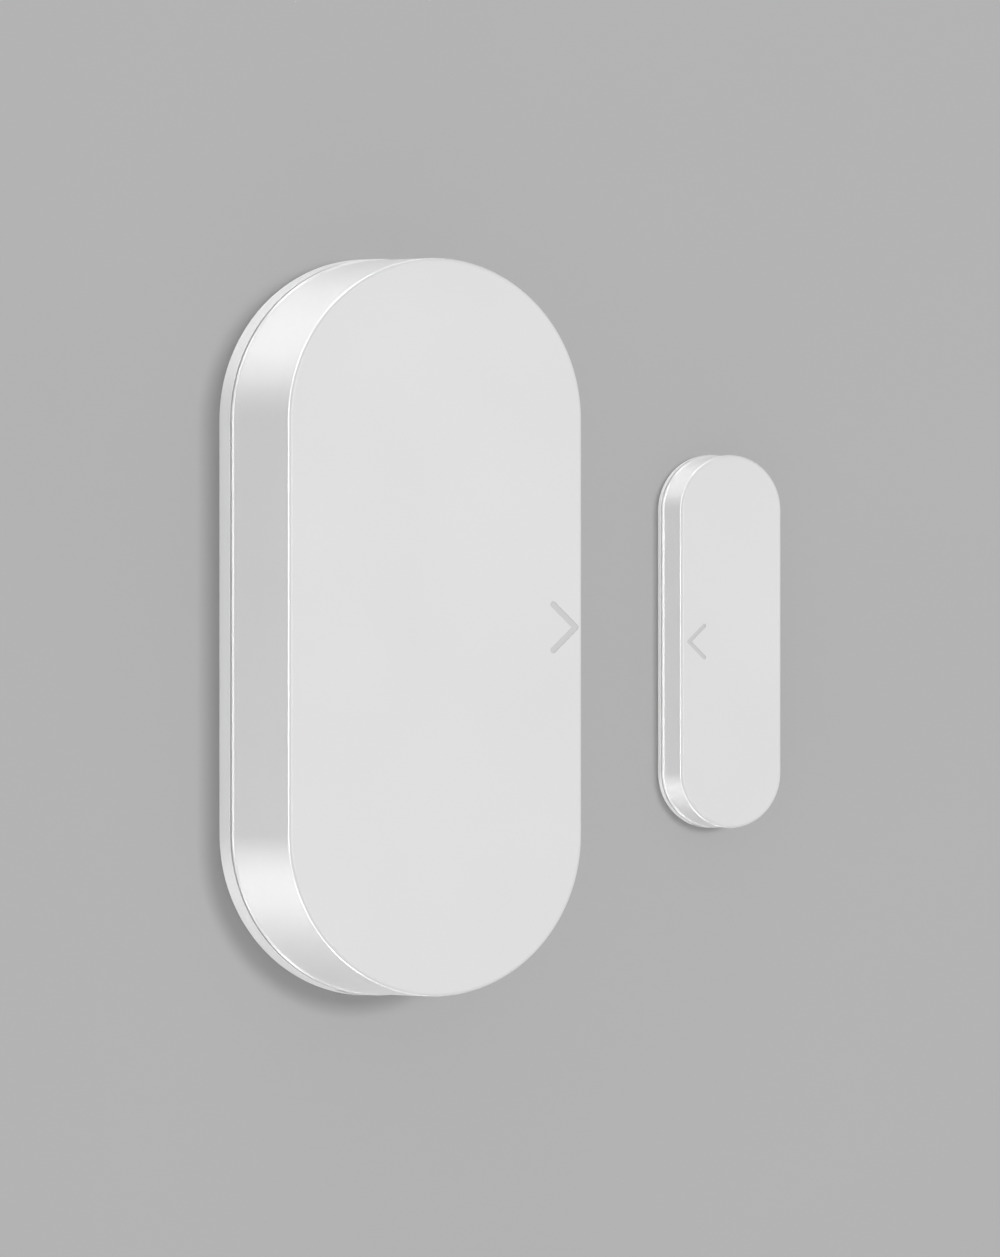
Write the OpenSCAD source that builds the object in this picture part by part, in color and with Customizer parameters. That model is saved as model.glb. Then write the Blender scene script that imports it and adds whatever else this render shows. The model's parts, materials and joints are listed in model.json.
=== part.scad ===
// Door contact sensor: a main unit with the electronics and a smaller magnet unit beside it.
//
// The units stand upright on a wall. +Z is up, +X points from the main unit to the magnet unit, and -Y
// points out of the wall. The origin is the centre of the main unit's wall face. Outlines are drawn as
// seen from the front, x across and y up, and depths are measured from the wall towards the room.

/* [Main unit] */
// Height of the main unit
unit_h = 72; // [72:1:80]
// Width of the main unit, and of its round ends
unit_w = 31.5; // [31.5:0.5:36]
// Depth of the main unit, from the wall to the front face
unit_d = 16.7; // [15.5:0.1:20]
// Thickness of the main cover's side wall and front
cover_wall = 1.6; // [1.4:0.1:1.8]
// Rounding of the main cover's front edge
cover_round = 0.35; // [0.2:0.05:0.8]
// Depth at which the base plate's rim ends and the seam begins
base_rim_d = 2.9; // [2.6:0.1:3]

/* [Magnet unit] */
// Height of the magnet unit
magnet_unit_h = 36.6; // [36:0.2:44]
// Width of the magnet unit, and of its round ends
magnet_unit_w = 10.9; // [10.8:0.1:13]
// Depth of the magnet unit, from the wall to its front face
magnet_unit_d = 5.6; // [5.4:0.1:8]
// Thickness of the magnet cover's side wall and front
magnet_wall = 1; // [0.8:0.05:1.1]
// Rounding of the magnet cover's front edge
magnet_round = 0.3; // [0.15:0.05:0.5]

/* [Placing] */
// Gap between the two units
unit_gap = 15.9; // [3:0.1:20]
// How far the magnet unit's centre sits below the main unit's centre
magnet_drop = 1.4; // [0:0.1:5]

/* [Electronics] */
// Radius of the coin cell
cell_r = 10; // [10:0.1:10.1]
// Thickness of the coin cell
cell_t = 3.2; // [3:0.1:3.2]
// Length of the reed switch's glass tube
reed_l = 14; // [12:0.5:14]
// Length of the bar magnet
bar_l = 25; // [20:0.5:25]

/* [Hidden] */
$fn = 64;
// A cut runs this far past the surface that it opens through.
past = 1;

// Main unit: seam, spigot, snap arms and pad
base_back_d = 0.3;
base_floor_d = 2.3;
cover_seat_d = base_rim_d + 0.4;
seam_inset = 0.6;
spigot_inset = cover_wall + 0.1;
spigot_wall = 1;
spigot_top_d = 5.8;
pad_w = 23.6;
pad_h = 49.6;
pad_t = 0.8;
pad_clearance = 0.2;
wall_screw_z = unit_h / 2 - 6.5;
wall_screw_r = 1.7;
wall_screw_sink_r = 2.9;
wall_screw_sink = 0.9;
pry_w = 8;
pry_depth = 1.1;
pry_t = 0.9;

// Magnet unit: seam, spigot, snap arms and pad
magnet_x = unit_w / 2 + unit_gap + magnet_unit_w / 2;
magnet_z = -magnet_drop;
magnet_back_d = 0.2;
magnet_rim_d = 1;
magnet_seat_d = 1.3;
magnet_floor_d = 1.6;
magnet_seam_inset = 0.35;
magnet_spigot_inset = magnet_wall + 0.08;
magnet_spigot_wall = 0.7;
magnet_spigot_top_d = 2.7;
magnet_pad_w = 7.4;
magnet_pad_h = 24.4;
magnet_pad_t = 0.6;
magnet_screw_z = 14.8;
magnet_screw_r = 1.1;
magnet_pry_w = 4;
magnet_pry_depth = 0.7;
magnet_pry_t = 0.4;
bar_w = 6.6;
bar_t = 2.8;
bar_chamfer = 0.4;
bar_stop_w = 5;
bar_stop_t = 0.6;
bar_stop_h = 1.3;

// Snap arms: [foot depth, hook depth, arm top depth, inset, thickness, reach, width]
arm = [cover_seat_d, 7.6, 8.8, spigot_inset, 0.8, 0.5, 6];
magnet_arm = [magnet_seat_d, 3, 3.9, magnet_spigot_inset, 0.5, 0.3, 3];
hook_land = 0.3;
arm_gap = 0.4;
pocket_gap = 0.15;

// Chevrons: [tip's x, arm's run across, arm's rise, stroke]
chevron_mark = [unit_w / 2 - 0.65, -2.55, 2.3, 0.48];
magnet_chevron_mark = [-(magnet_unit_w / 2 - 0.85), 1.68, 1.57, 0.35];
mark_depth = 0.3;
mark_recess = 0.04;

// Circuit board and what holds it
board_w = 24.5;
board_h = 52;
board_t = 1;
board_corner_r = 6;
board_back_d = 6;
board_front_d = board_back_d + board_t;
post_x = 9.3;
post_z = 21;
post_r = 1.9;
pin_r = 0.95;
pin_clearance = 0.1;
pin_above = 0.6;
screw_corners = [[-1, 1], [1, -1]];
pin_corners = [[1, 1], [-1, -1]];
screw_r = 1;
screw_pilot_r = 0.8;
screw_hole_r = 1.15;
screw_l = 4;
screw_head_r = 1.9;
screw_head_t = 1.2;
screw_cross = [2.2, 0.5, 0.6];

// Coin cell, its holder and its contacts
cell_z = 11;
cell_back_d = board_front_d + 1.3;
cell_front_d = cell_back_d + cell_t;
can_t = 0.25;
crimp_w = 0.7;
crimp_t = 0.3;
crimp_back_d = cell_back_d + 0.2;
gasket_top_d = cell_front_d - 0.7;
cap_top_d = cell_front_d - 1;
gasket_t = 0.95;
holder_wall = 1.1;
holder_gap = 0.15;
holder_floor_t = 0.9;
holder_top_d = cell_front_d - 0.2;
finger_notch_w = 9;
holder_r = cell_r + holder_gap + holder_wall;
lip_reach = 0.55;
lip_sweep = 16;
lip_step = 0.1;
lip_t = 0.65;
lip_angles = [150, 30, -30, 210];
clip_w = 4;
clip_t = 0.3;
clip_gap = 0.05;
clip_finger = 7;
clip_foot = 2.2;
spring_w = 4;
spring_t = 0.2;
spring_tail_z = -4.5;
spring_foot = 3.5;
spring_rise = 1.5;
spring_crest = 3;

// Reed switch, beside the edge that faces the magnet
reed_x = 10.2;
reed_z = -5;
reed_d = board_front_d + 1.5;
reed_r = 1.1;
reed_bore_r = 0.75;
reed_seal = 1.8;
lead_r = 0.3;
lead_fit = 0.01;
lead_out = 1.4;
lead_below = 0.6;
lead_hole_r = 0.42;
blade_w = 0.8;
blade_t = 0.2;
blade_overlap = 1.2;
blade_root_gap = 0.05;
blade_stub = 0.2;

// Reset button
button_x = -8.4;
button_z = -5.6;
button_w = 5.2;
button_body_t = 1.6;
button_frame_t = 0.2;
button_bore_r = 2.1;
button_bore_depth = 0.8;
button_flange_r = 2;
button_flange_t = 0.4;
button_stem_r = 1.5;
button_stem_gap = 0.1;
button_top_d = board_front_d + 2.7;
button_leg = [0.7, 0.9, 0.2];
button_leg_z = 1.8;

// Radio module
radio_z = -17.4;
radio_w = 13;
radio_h = 15.6;
radio_board_t = 0.8;
radio_front_d = board_front_d + radio_board_t;
radio_pad_r = 0.32;
radio_pad_pitch = 1.4;
radio_pad_count = 9;
shield = [10.4, 9, 1.7];
shield_z = radio_z + 2.4;
shield_t = 0.2;
radio_chip_w = 5;
radio_chip_t = 0.85;
antenna = [7, 2, 1.1];
antenna_z = radio_z - 5.6;

// Single chips: [x, z, width, height, thickness]
controller = [0.2, -5, 5, 5, 0.9];
crystal = [5.2, -3, 3.2, 1.6, 0.8];
capacitor = [5.9, -7, 3.5, 2.4, 1.9];
led = [-8.4, -10.8, 2, 1.3, 0.8];
led_base_t = 0.3;

// Small chips: sizes and places
small_capacitor = [1.6, 0.8, 0.8];
small_resistor = [1.6, 0.8, 0.45];
capacitor_places = [
    [-4, -2.4], [-4, -4], [-4, -5.6], [-4, -7.2],
    [4.6, 23.4], [4.6, 24.9], [-4.6, 24.2]
];
resistor_places = [
    [-8.6, -13.4], [-8.6, -15], [-8.6, -16.6],
    [8.7, -15.9], [8.7, -17.5], [3.6, -0.9]
];

// Colours
white_plastic = [0.88, 0.88, 0.88];
base_white = [0.85, 0.85, 0.85];
mark_grey = [0.76, 0.76, 0.76];
foam_grey = [0.55, 0.57, 0.6];
board_green = [0.05, 0.33, 0.2];
black_plastic = [0.09, 0.09, 0.1];
chip_black = [0.14, 0.14, 0.15];
steel = [0.75, 0.76, 0.78];
gold = [0.86, 0.7, 0.35];
gasket_green = [0.35, 0.5, 0.45];
ceramic = [0.93, 0.92, 0.88];
capacitor_tan = [0.66, 0.53, 0.38];
glass_tint = [0.6, 0.8, 0.75, 0.5];
led_lens = [0.97, 0.95, 0.85];
cell_black = [0.2, 0.2, 0.22];
ferrite = [0.22, 0.22, 0.23];

// ---- Building blocks ----

// Extrudes a front-view outline from one depth to another.
module layer(from, to) {
    rotate([90, 0, 0])
        translate([0, 0, from])
            linear_extrude(to - from)
                children();
}

// Extrudes a side-view outline, z across and depth up, from one x to another.
module across(from, to) {
    rotate([180, -90, 0])
        translate([0, 0, from])
            linear_extrude(to - from)
                children();
}

// Moves what follows to a place in the front view.
module at(x, z) {
    translate([x, 0, z]) children();
}

// Front-view outline of a pill with round ends, pulled in by inset all round.
module pill(w, h, inset = 0) {
    r = w / 2 - inset;
    for (end = [-1, 1])
        translate([0, end * (h - w) / 2])
            circle(r);
    square([2 * r, h - w], center = true);
}

// Front-view outline of a band that follows a pill, between two insets.
module pill_band(w, h, outer, inner) {
    difference() {
        pill(w, h, outer);
        pill(w, h, inner);
    }
}

// Solid pill whose front edge is rounded.
module rounded_pill(w, h, from, to, round) {
    rotate([90, 0, 0]) {
        for (end = [0, 180])
            rotate([0, 0, end])
                translate([0, (h - w) / 2, 0])
                    rotate_extrude(angle = 180)
                        rounded_edge(w / 2, from, to, round);
        rotate([90, 0, 0])
            linear_extrude(h - w, center = true) {
                rounded_edge(w / 2, from, to, round);
                mirror([1, 0]) rounded_edge(w / 2, from, to, round);
            }
    }
}

// Half section of a plate, from its centre to its edge, with the front corner rounded.
module rounded_edge(r, from, to, round) {
    translate([0, from]) square([r, to - from - round]);
    translate([0, from]) square([r - round, to - from]);
    translate([r - round, to - round]) circle(round);
}

// Turns a radial section about the centres of a pill's two round ends and keeps the middle stretch.
module end_sectors(w, h, width) {
    for (end = [0, 180])
        rotate([0, end, 0])
            intersection() {
                at(0, (h - w) / 2)
                    rotate([90, 0, 0])
                        rotate_extrude(angle = 180)
                            children();
                translate([-width / 2, -unit_d, 0])
                    cube([width, unit_d, h]);
            }
}

// Two latch arms, one at each end of a base, hooked outwards. The values are listed at the top.
module snap_arms(w, h, a) {
    outer = w / 2 - a[3];
    end_sectors(w, h, a[6])
        polygon([
            [outer - a[4], a[0]], [outer, a[0]], [outer, a[1]], [outer + a[5], a[1]],
            [outer + a[5], a[1] + hook_land], [outer, a[2]], [outer - a[4], a[2]]
        ]);
}

// Pockets in a cover's wall that the hooks stand in.
module snap_pockets(w, h, a) {
    outer = w / 2 - a[3] + a[5] + pocket_gap;
    inner = w / 2 - a[3] - a[4];
    end_sectors(w, h, a[6] + 2 * arm_gap)
        translate([inner, a[1] - pocket_gap])
            square([outer - inner, a[2] - a[1] + 2 * pocket_gap]);
}

// The two gaps in a spigot that the latch arms stand in.
module arm_slots(h, a) {
    width = a[6] + 2 * arm_gap;
    for (end = [-1, 1])
        translate([0, end * h / 2])
            square([width, h / 4], center = true);
}

// Front-view stroke with round ends, from one point to another.
module stroke(start, end, width) {
    run = end - start;
    translate(start)
        rotate(atan2(run.y, run.x))
            translate([0, -width / 2])
                square([norm(run), width]);
    translate(start) circle(width / 2);
}

// Front-view outline of a chevron. Its tip is on the unit's middle line.
module chevron(m) {
    tip = [m[0], 0];
    for (side = [-1, 1])
        stroke([m[0] + m[1], side * m[2]], tip, m[3]);
    translate(tip) circle(m[3] / 2);
}

// Notch in a base's rim at its lower end, for prying the cover off.
module pry_notch(h, width, depth, thickness, rim) {
    at(0, -h / 2 - past + depth / 2)
        layer(rim - thickness, rim + past)
            square([width, depth + 2 * past], center = true);
}

// Block that stands on the main board. The values are [x, z, width, height, thickness].
module board_block(b, from = board_front_d) {
    at(b[0], b[1])
        layer(from, from + b[4])
            square([b[2], b[3]], center = true);
}

// ---- Main unit: casing ----

module base_plate() {
    color(base_white) {
        difference() {
            union() {
                layer(base_back_d, base_floor_d) pill(unit_w, unit_h);
                layer(base_floor_d, base_rim_d) pill_band(unit_w, unit_h, 0, spigot_inset + spigot_wall);
                layer(base_rim_d, cover_seat_d)
                    pill_band(unit_w, unit_h, seam_inset, spigot_inset + spigot_wall);
                layer(cover_seat_d, spigot_top_d)
                    difference() {
                        pill_band(unit_w, unit_h, spigot_inset, spigot_inset + spigot_wall);
                        arm_slots(unit_h, arm);
                    }
            }
            layer(base_back_d - past, pad_t)
                pill(pad_w + 2 * pad_clearance, pad_h + 2 * pad_clearance);
            for (end = [-1, 1])
                at(0, end * wall_screw_z) wall_screw_hole();
            pry_notch(unit_h, pry_w, pry_depth, pry_t, base_rim_d);
        }
        for (corner = screw_corners)
            at(corner.x * post_x, corner.y * post_z) screw_post();
        for (corner = pin_corners)
            at(corner.x * post_x, corner.y * post_z) pin_post();
    }
}

module wall_screw_hole() {
    layer(base_back_d - past, base_floor_d + past) circle(wall_screw_r);
    layer(base_floor_d - wall_screw_sink, base_floor_d + past) circle(wall_screw_sink_r);
}

module screw_post() {
    layer(base_floor_d, board_back_d)
        difference() {
            circle(post_r);
            circle(screw_pilot_r);
        }
}

module pin_post() {
    layer(base_floor_d, board_back_d) circle(post_r);
    layer(board_back_d, board_front_d + pin_above) circle(pin_r);
}

module cover_snap_arms() {
    color(base_white) snap_arms(unit_w, unit_h, arm);
}

module adhesive_pad() {
    color(foam_grey) layer(0, pad_t) pill(pad_w, pad_h);
}

module front_cover() {
    color(white_plastic)
        difference() {
            rounded_pill(unit_w, unit_h, cover_seat_d, unit_d, cover_round);
            layer(cover_seat_d - past, unit_d - cover_wall) pill(unit_w, unit_h, cover_wall);
            snap_pockets(unit_w, unit_h, arm);
            layer(unit_d - mark_depth, unit_d + past) chevron(chevron_mark);
        }
}

module cover_chevron() {
    color(mark_grey) layer(unit_d - mark_depth, unit_d - mark_recess) chevron(chevron_mark);
}

// ---- Main unit: circuit board ----

module circuit_board() {
    color(board_green)
        layer(board_back_d, board_front_d)
            difference() {
                board_outline();
                for (corner = screw_corners)
                    translate([corner.x * post_x, corner.y * post_z]) circle(screw_hole_r);
                for (corner = pin_corners)
                    translate([corner.x * post_x, corner.y * post_z]) circle(pin_r + pin_clearance);
                for (end = [-1, 1])
                    translate([reed_x, reed_z + end * lead_bend_z()]) circle(lead_hole_r);
            }
}

module board_outline() {
    square([board_w, board_h - 2 * board_corner_r], center = true);
    square([board_w - 2 * board_corner_r, board_h], center = true);
    for (x = [-1, 1], z = [-1, 1])
        translate([x * (board_w / 2 - board_corner_r), z * (board_h / 2 - board_corner_r)])
            circle(board_corner_r);
}

module board_screws() {
    color(steel)
        for (corner = screw_corners)
            at(corner.x * post_x, corner.y * post_z) board_screw();
}

module board_screw() {
    top = board_front_d + screw_head_t;
    layer(board_front_d - screw_l, board_front_d) circle(screw_r);
    difference() {
        layer(board_front_d, top) circle(screw_head_r);
        for (turn = [0, 90])
            layer(top - screw_cross.z, top + past)
                rotate(turn) square([screw_cross.x, screw_cross.y], center = true);
    }
}

// ---- Main unit: coin cell ----

module battery_holder() {
    color(black_plastic)
        at(0, cell_z) {
            difference() {
                layer(board_front_d, holder_top_d) circle(holder_r);
                layer(board_front_d + holder_floor_t, holder_top_d + past)
                    circle(cell_r + holder_gap);
                layer(board_front_d + 2 * holder_floor_t, holder_top_d + past)
                    translate([0, -holder_r])
                        square([finger_notch_w, holder_r], center = true);
                layer(board_front_d - past, board_front_d + holder_floor_t + past)
                    translate([0, spring_tail_z - spring_t / 2])
                        square([spring_w + pad_clearance, 2 * spring_t], center = true);
            }
            for (angle = lip_angles)
                rotate([0, -angle, 0]) holder_lip();
        }
}

// Hooked lip on the holder's rim, centred on the +X side, that reaches over the cell's edge.
module holder_lip() {
    outer = holder_r - lip_step;
    inner = cell_r + holder_gap + lip_step;
    back = cell_front_d + clip_gap;
    rotate([90, 0, 0])
        rotate([0, 0, -lip_sweep / 2])
            rotate_extrude(angle = lip_sweep)
                polygon([
                    [inner, holder_top_d - lip_t], [outer, holder_top_d - lip_t], [outer, back + lip_t],
                    [cell_r - lip_reach, back + lip_t], [cell_r - lip_reach, back], [inner, back]
                ]);
}

module battery_positive_clip() {
    leg = holder_r + clip_gap;
    back = board_front_d;
    front = cell_front_d + clip_t;
    color(steel)
        at(0, cell_z)
            across(-clip_w / 2, clip_w / 2)
                polygon([
                    [leg, back], [leg + clip_t + clip_foot, back], [leg + clip_t + clip_foot, back + clip_t],
                    [leg + clip_t, back + clip_t], [leg + clip_t, front], [leg - clip_finger, front],
                    [leg - clip_finger, cell_front_d], [leg, cell_front_d]
                ]);
}

module battery_negative_spring() {
    floor_d = board_front_d + holder_floor_t;
    tail = spring_tail_z;
    rise = tail + spring_foot;
    crest = rise + spring_rise;
    tip = crest + spring_crest;
    color(gold)
        at(0, cell_z)
            across(-spring_w / 2, spring_w / 2)
                polygon([
                    [tail, board_front_d], [tail, floor_d], [rise, floor_d],
                    [crest, cell_back_d - spring_t], [tip, cell_back_d - spring_t], [tip, cell_back_d],
                    [crest, cell_back_d], [rise, floor_d + spring_t],
                    [tail - spring_t, floor_d + spring_t], [tail - spring_t, board_front_d]
                ]);
}

// Turns a section of the cell, radius across and depth up, about the cell's axis.
module cell_turned() {
    at(0, cell_z)
        rotate([90, 0, 0])
            rotate_extrude()
                children();
}

module cell_can() {
    inner = cell_r - can_t;
    lip = cell_r - crimp_w;
    color(steel)
        cell_turned()
            polygon([
                [0, cell_front_d], [cell_r, cell_front_d], [cell_r, crimp_back_d], [lip, crimp_back_d],
                [lip, crimp_back_d + crimp_t], [inner, crimp_back_d + crimp_t],
                [inner, cell_front_d - can_t], [0, cell_front_d - can_t]
            ]);
}

module cell_gasket() {
    outer = cell_r - can_t;
    inner = outer - gasket_t;
    lip = cell_r - crimp_w;
    color(gasket_green)
        cell_turned()
            polygon([
                [inner, crimp_back_d], [lip, crimp_back_d], [lip, crimp_back_d + crimp_t],
                [outer, crimp_back_d + crimp_t], [outer, gasket_top_d], [inner, gasket_top_d]
            ]);
}

module cell_cap() {
    outer = cell_r - can_t - gasket_t;
    color(steel)
        cell_turned()
            polygon([
                [0, cell_back_d], [outer, cell_back_d], [outer, cap_top_d], [outer - can_t, cap_top_d],
                [outer - can_t, cell_back_d + can_t], [0, cell_back_d + can_t]
            ]);
}

module cell_electrodes() {
    r = cell_r - 2 * can_t - gasket_t;
    color(cell_black)
        at(0, cell_z)
            layer(cell_back_d + can_t, cell_front_d - can_t)
                circle(r);
}

// ---- Main unit: reed switch ----

// Distance along the tube from the reed switch's middle to where its leads bend down to the board.
function lead_bend_z() = reed_l / 2 + lead_out;

// Rod along Z between two heights on the reed switch's axis.
module reed_rod(r, from, to) {
    translate([reed_x, -reed_d, reed_z + from]) cylinder(r = r, h = to - from);
}

module reed_glass() {
    bore = reed_l / 2 - reed_seal;
    color(glass_tint)
        difference() {
            reed_rod(reed_r, -reed_l / 2, reed_l / 2);
            reed_rod(reed_bore_r, -bore, bore);
            reed_rod(lead_r + lead_fit, -reed_l / 2 - past, reed_l / 2 + past);
        }
}

// Wire from inside the tube's seal, out of its end and down through the board. side is 1 at the top.
module reed_wire(side) {
    inner = reed_l / 2 - reed_seal - blade_stub;
    bend = lead_bend_z();
    translate([reed_x, -reed_d, reed_z]) {
        rotate([side > 0 ? 0 : 180, 0, 0])
            translate([0, 0, inner]) cylinder(r = lead_r, h = bend - inner);
        translate([0, 0, side * bend]) sphere(lead_r);
    }
    at(reed_x, reed_z + side * bend)
        layer(board_back_d - lead_below, reed_d) circle(lead_r);
}

module reed_fixed_lead() {
    root = reed_l / 2 - reed_seal - blade_stub;
    color(steel) {
        reed_wire(-1);
        at(reed_x, reed_z)
            layer(reed_d - blade_t, reed_d)
                translate([-blade_w / 2, -root])
                    square([blade_w, root + blade_overlap / 2]);
    }
}

module reed_moving_lead() {
    color(steel) reed_wire(1);
}

module reed_blade() {
    root = reed_l / 2 - reed_seal - blade_stub - blade_root_gap;
    color(gold)
        at(reed_x, reed_z)
            layer(reed_d, reed_d + blade_t)
                translate([-blade_w / 2, -blade_overlap / 2])
                    square([blade_w, root + blade_overlap / 2]);
}

// ---- Main unit: reset button and light ----

module button_housing() {
    top = board_front_d + button_body_t;
    color(black_plastic)
        at(button_x, button_z)
            difference() {
                layer(board_front_d, top) square(button_w, center = true);
                layer(top - button_bore_depth, top + past) circle(button_bore_r);
            }
}

module button_frame() {
    back = board_front_d + button_body_t;
    color(steel)
        at(button_x, button_z) {
            layer(back, back + button_frame_t)
                difference() {
                    square(button_w, center = true);
                    circle(button_stem_r + button_stem_gap);
                }
            for (x = [-1, 1], z = [-1, 1])
                at(x * (button_w + button_leg.x) / 2, z * button_leg_z)
                    layer(board_front_d, board_front_d + button_leg.z)
                        square([button_leg.x, button_leg.y], center = true);
        }
}

module button_plunger() {
    flange_top = board_front_d + button_body_t - button_stem_gap;
    color(white_plastic)
        at(button_x, button_z) {
            layer(flange_top - button_flange_t, flange_top) circle(button_flange_r);
            layer(flange_top, button_top_d) circle(button_stem_r);
        }
}

module indicator_led() {
    color(led_lens) {
        board_block([led[0], led[1], led[2], led[3], led_base_t]);
        board_block(
            [led[0], led[1], led[2] - 2 * led_base_t, led[3], led[4] - led_base_t],
            board_front_d + led_base_t
        );
    }
}

// ---- Main unit: radio module ----

module radio_board() {
    first = radio_h / 2 - (radio_h - (radio_pad_count - 1) * radio_pad_pitch) / 2;
    color(board_green)
        at(0, radio_z)
            layer(board_front_d, radio_front_d)
                difference() {
                    square([radio_w, radio_h], center = true);
                    for (side = [-1, 1], i = [0:radio_pad_count - 1])
                        translate([side * radio_w / 2, first - i * radio_pad_pitch])
                            circle(radio_pad_r);
                }
}

module radio_chip() {
    color(chip_black)
        board_block([0, shield_z, radio_chip_w, radio_chip_w, radio_chip_t], radio_front_d);
}

module radio_shield() {
    color(steel)
        difference() {
            board_block([0, shield_z, shield.x, shield.y, shield.z], radio_front_d);
            board_block(
                [0, shield_z, shield.x - 2 * shield_t, shield.y - 2 * shield_t, shield.z - shield_t + past],
                radio_front_d - past
            );
        }
}

module radio_antenna() {
    color(ceramic)
        board_block([0, antenna_z, antenna.x, antenna.y, antenna.z], radio_front_d);
}

// ---- Main unit: chips ----

module controller_chip() {
    color(chip_black) board_block(controller);
}

module clock_crystal() {
    color(steel) board_block(crystal);
}

module buffer_capacitor() {
    color(capacitor_tan) board_block(capacitor);
}

module small_chips(places, size) {
    for (place = places)
        board_block([place.x, place.y, size.x, size.y, size.z]);
}

module chip_capacitors() {
    color(capacitor_tan) small_chips(capacitor_places, small_capacitor);
}

module chip_resistors() {
    color(chip_black) small_chips(resistor_places, small_resistor);
}

// ---- Magnet unit ----

module magnet_base() {
    w = magnet_unit_w;
    h = magnet_unit_h;
    spigot_inner = magnet_spigot_inset + magnet_spigot_wall;
    color(base_white)
        at(magnet_x, magnet_z) {
            difference() {
                union() {
                    layer(magnet_back_d, magnet_rim_d) pill(w, h);
                    layer(magnet_rim_d, magnet_seat_d) pill(w, h, magnet_seam_inset);
                    layer(magnet_seat_d, magnet_floor_d) pill(w, h, spigot_inner);
                    layer(magnet_seat_d, magnet_spigot_top_d)
                        difference() {
                            pill_band(w, h, magnet_spigot_inset, spigot_inner);
                            arm_slots(h, magnet_arm);
                        }
                }
                layer(magnet_back_d - past, magnet_pad_t)
                    pill(magnet_pad_w + 2 * pad_clearance, magnet_pad_h + 2 * pad_clearance);
                for (end = [-1, 1])
                    at(0, end * magnet_screw_z)
                        layer(magnet_back_d - past, magnet_floor_d + past)
                            circle(magnet_screw_r);
                pry_notch(h, magnet_pry_w, magnet_pry_depth, magnet_pry_t, magnet_rim_d);
            }
            for (end = [-1, 1])
                layer(magnet_floor_d, magnet_floor_d + bar_stop_h)
                    translate([0, end * (bar_l + bar_stop_t) / 2])
                        square([bar_stop_w, bar_stop_t], center = true);
        }
}

module magnet_snap_arms() {
    color(base_white) at(magnet_x, magnet_z) snap_arms(magnet_unit_w, magnet_unit_h, magnet_arm);
}

module magnet_adhesive_pad() {
    color(foam_grey) at(magnet_x, magnet_z) layer(0, magnet_pad_t) pill(magnet_pad_w, magnet_pad_h);
}

module bar_magnet() {
    color(ferrite)
        at(magnet_x, magnet_z)
            translate([0, 0, -bar_l / 2])
                linear_extrude(bar_l)
                    bar_section();
}

// Cross-section of the bar magnet, seen from above, with its four long edges chamfered.
module bar_section() {
    x = bar_w / 2;
    back = -magnet_floor_d;
    front = -magnet_floor_d - bar_t;
    polygon([
        [-x + bar_chamfer, back], [x - bar_chamfer, back], [x, back - bar_chamfer],
        [x, front + bar_chamfer], [x - bar_chamfer, front], [-x + bar_chamfer, front],
        [-x, front + bar_chamfer], [-x, back - bar_chamfer]
    ]);
}

module magnet_cover() {
    w = magnet_unit_w;
    h = magnet_unit_h;
    color(white_plastic)
        at(magnet_x, magnet_z)
            difference() {
                rounded_pill(w, h, magnet_seat_d, magnet_unit_d, magnet_round);
                layer(magnet_seat_d - past, magnet_unit_d - magnet_wall) pill(w, h, magnet_wall);
                snap_pockets(w, h, magnet_arm);
                layer(magnet_unit_d - mark_depth, magnet_unit_d + past) chevron(magnet_chevron_mark);
            }
}

module magnet_chevron() {
    color(mark_grey)
        at(magnet_x, magnet_z)
            layer(magnet_unit_d - mark_depth, magnet_unit_d - mark_recess)
                chevron(magnet_chevron_mark);
}

// ---- Nodes ----

base_plate();
cover_snap_arms();
adhesive_pad();
front_cover();
cover_chevron();
circuit_board();
board_screws();
battery_holder();
battery_positive_clip();
battery_negative_spring();
cell_can();
cell_gasket();
cell_cap();
cell_electrodes();
reed_glass();
reed_fixed_lead();
reed_moving_lead();
reed_blade();
button_housing();
button_frame();
button_plunger();
indicator_led();
radio_board();
radio_chip();
radio_shield();
radio_antenna();
controller_chip();
clock_crystal();
buffer_capacitor();
chip_capacitors();
chip_resistors();
magnet_base();
magnet_snap_arms();
magnet_adhesive_pad();
bar_magnet();
magnet_cover();
magnet_chevron();
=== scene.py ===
"""Door contact sensor: the looks of the main unit, its electronics and the magnet unit beside it.

Lengths are in millimetres until world() turns them into metres. A place is (x, z) as seen from the
front, and a depth is measured from the wall towards the room, so depth d lies at Y = -d.
"""

import json
import math
import random

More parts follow.
